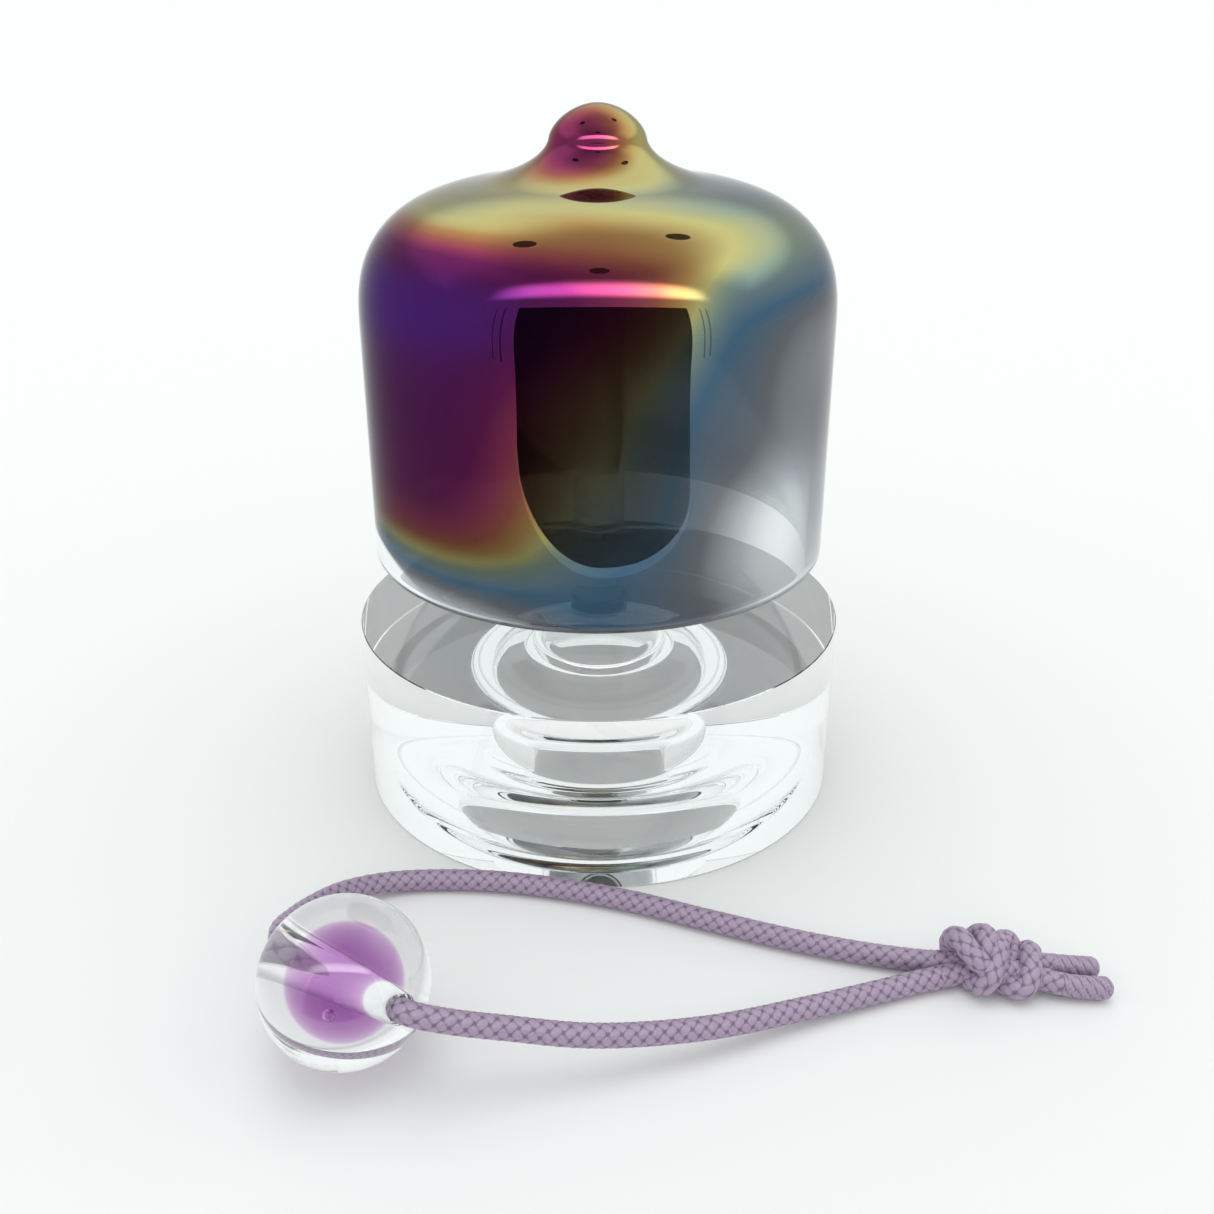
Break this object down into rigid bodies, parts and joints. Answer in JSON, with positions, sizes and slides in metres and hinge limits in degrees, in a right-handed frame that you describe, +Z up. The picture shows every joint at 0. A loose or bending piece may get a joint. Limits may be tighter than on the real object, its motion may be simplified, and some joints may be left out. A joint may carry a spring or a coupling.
{
  "type": "crystal bell",
  "caption": "Glass bell with an iridescent coat, balanced on a clear post and a round crystal base, with a loose glass bead striker on a knotted cord.",
  "frame": {"origin": "centre of the base's underside, on the axis of the base, post and bell", "axes": "+Z up along that axis; -Y towards the viewer of the picture, +X to the viewer's right"},
  "size_m": [0.1005, 0.1095, 0.0961],
  "materials": {
    "clear_glass": "polished clear crystal glass",
    "clear_rod": "polished clear rod",
    "clear_silicone": "clear silicone, satin",
    "coated_glass": "blown glass with a vacuum-coated iridescent film",
    "bead_glass": "clear lampworked glass",
    "violet_glass": "transparent violet glass",
    "waxed_cord": "braided waxed cord, mauve"
  },
  "bodies": {
    "stand": {"base_block": "clear_glass", "support_post": "clear_rod", "post_collar": "clear_silicone"},
    "post_tip": {"post_cap": "clear_silicone"},
    "bell": {"bell_dome": "coated_glass"},
    "striker_cord": {"cord_loop": "waxed_cord", "cord_knot": "waxed_cord", "cord_tail_front": "waxed_cord", "cord_tail_back": "waxed_cord"},
    "striker_bead": {"bead_shell": "bead_glass", "bead_core": "violet_glass"}
  },
  "joints": [
    {"name": "bell_turn", "type": "hinge", "parent": "stand", "child": "post_tip", "pos_m": [0, 0, 0.09], "axis": [0, 0, 1], "continuous": true},
    {"name": "bell_lift", "type": "slide", "parent": "post_tip", "child": "bell", "axis": [0, 0, 1], "range_m": [0, 0.07]},
    {"name": "striker_lift", "type": "slide", "parent": "stand", "child": "striker_cord", "axis": [0, 0, 1], "range_m": [0, 0.12]},
    {"name": "bead_spin", "type": "hinge", "parent": "striker_cord", "child": "striker_bead", "pos_m": [-0.0279, -0.0648, 0.0097], "axis": [0.7667, -0.6275, 0.1357], "continuous": true}
  ]
}
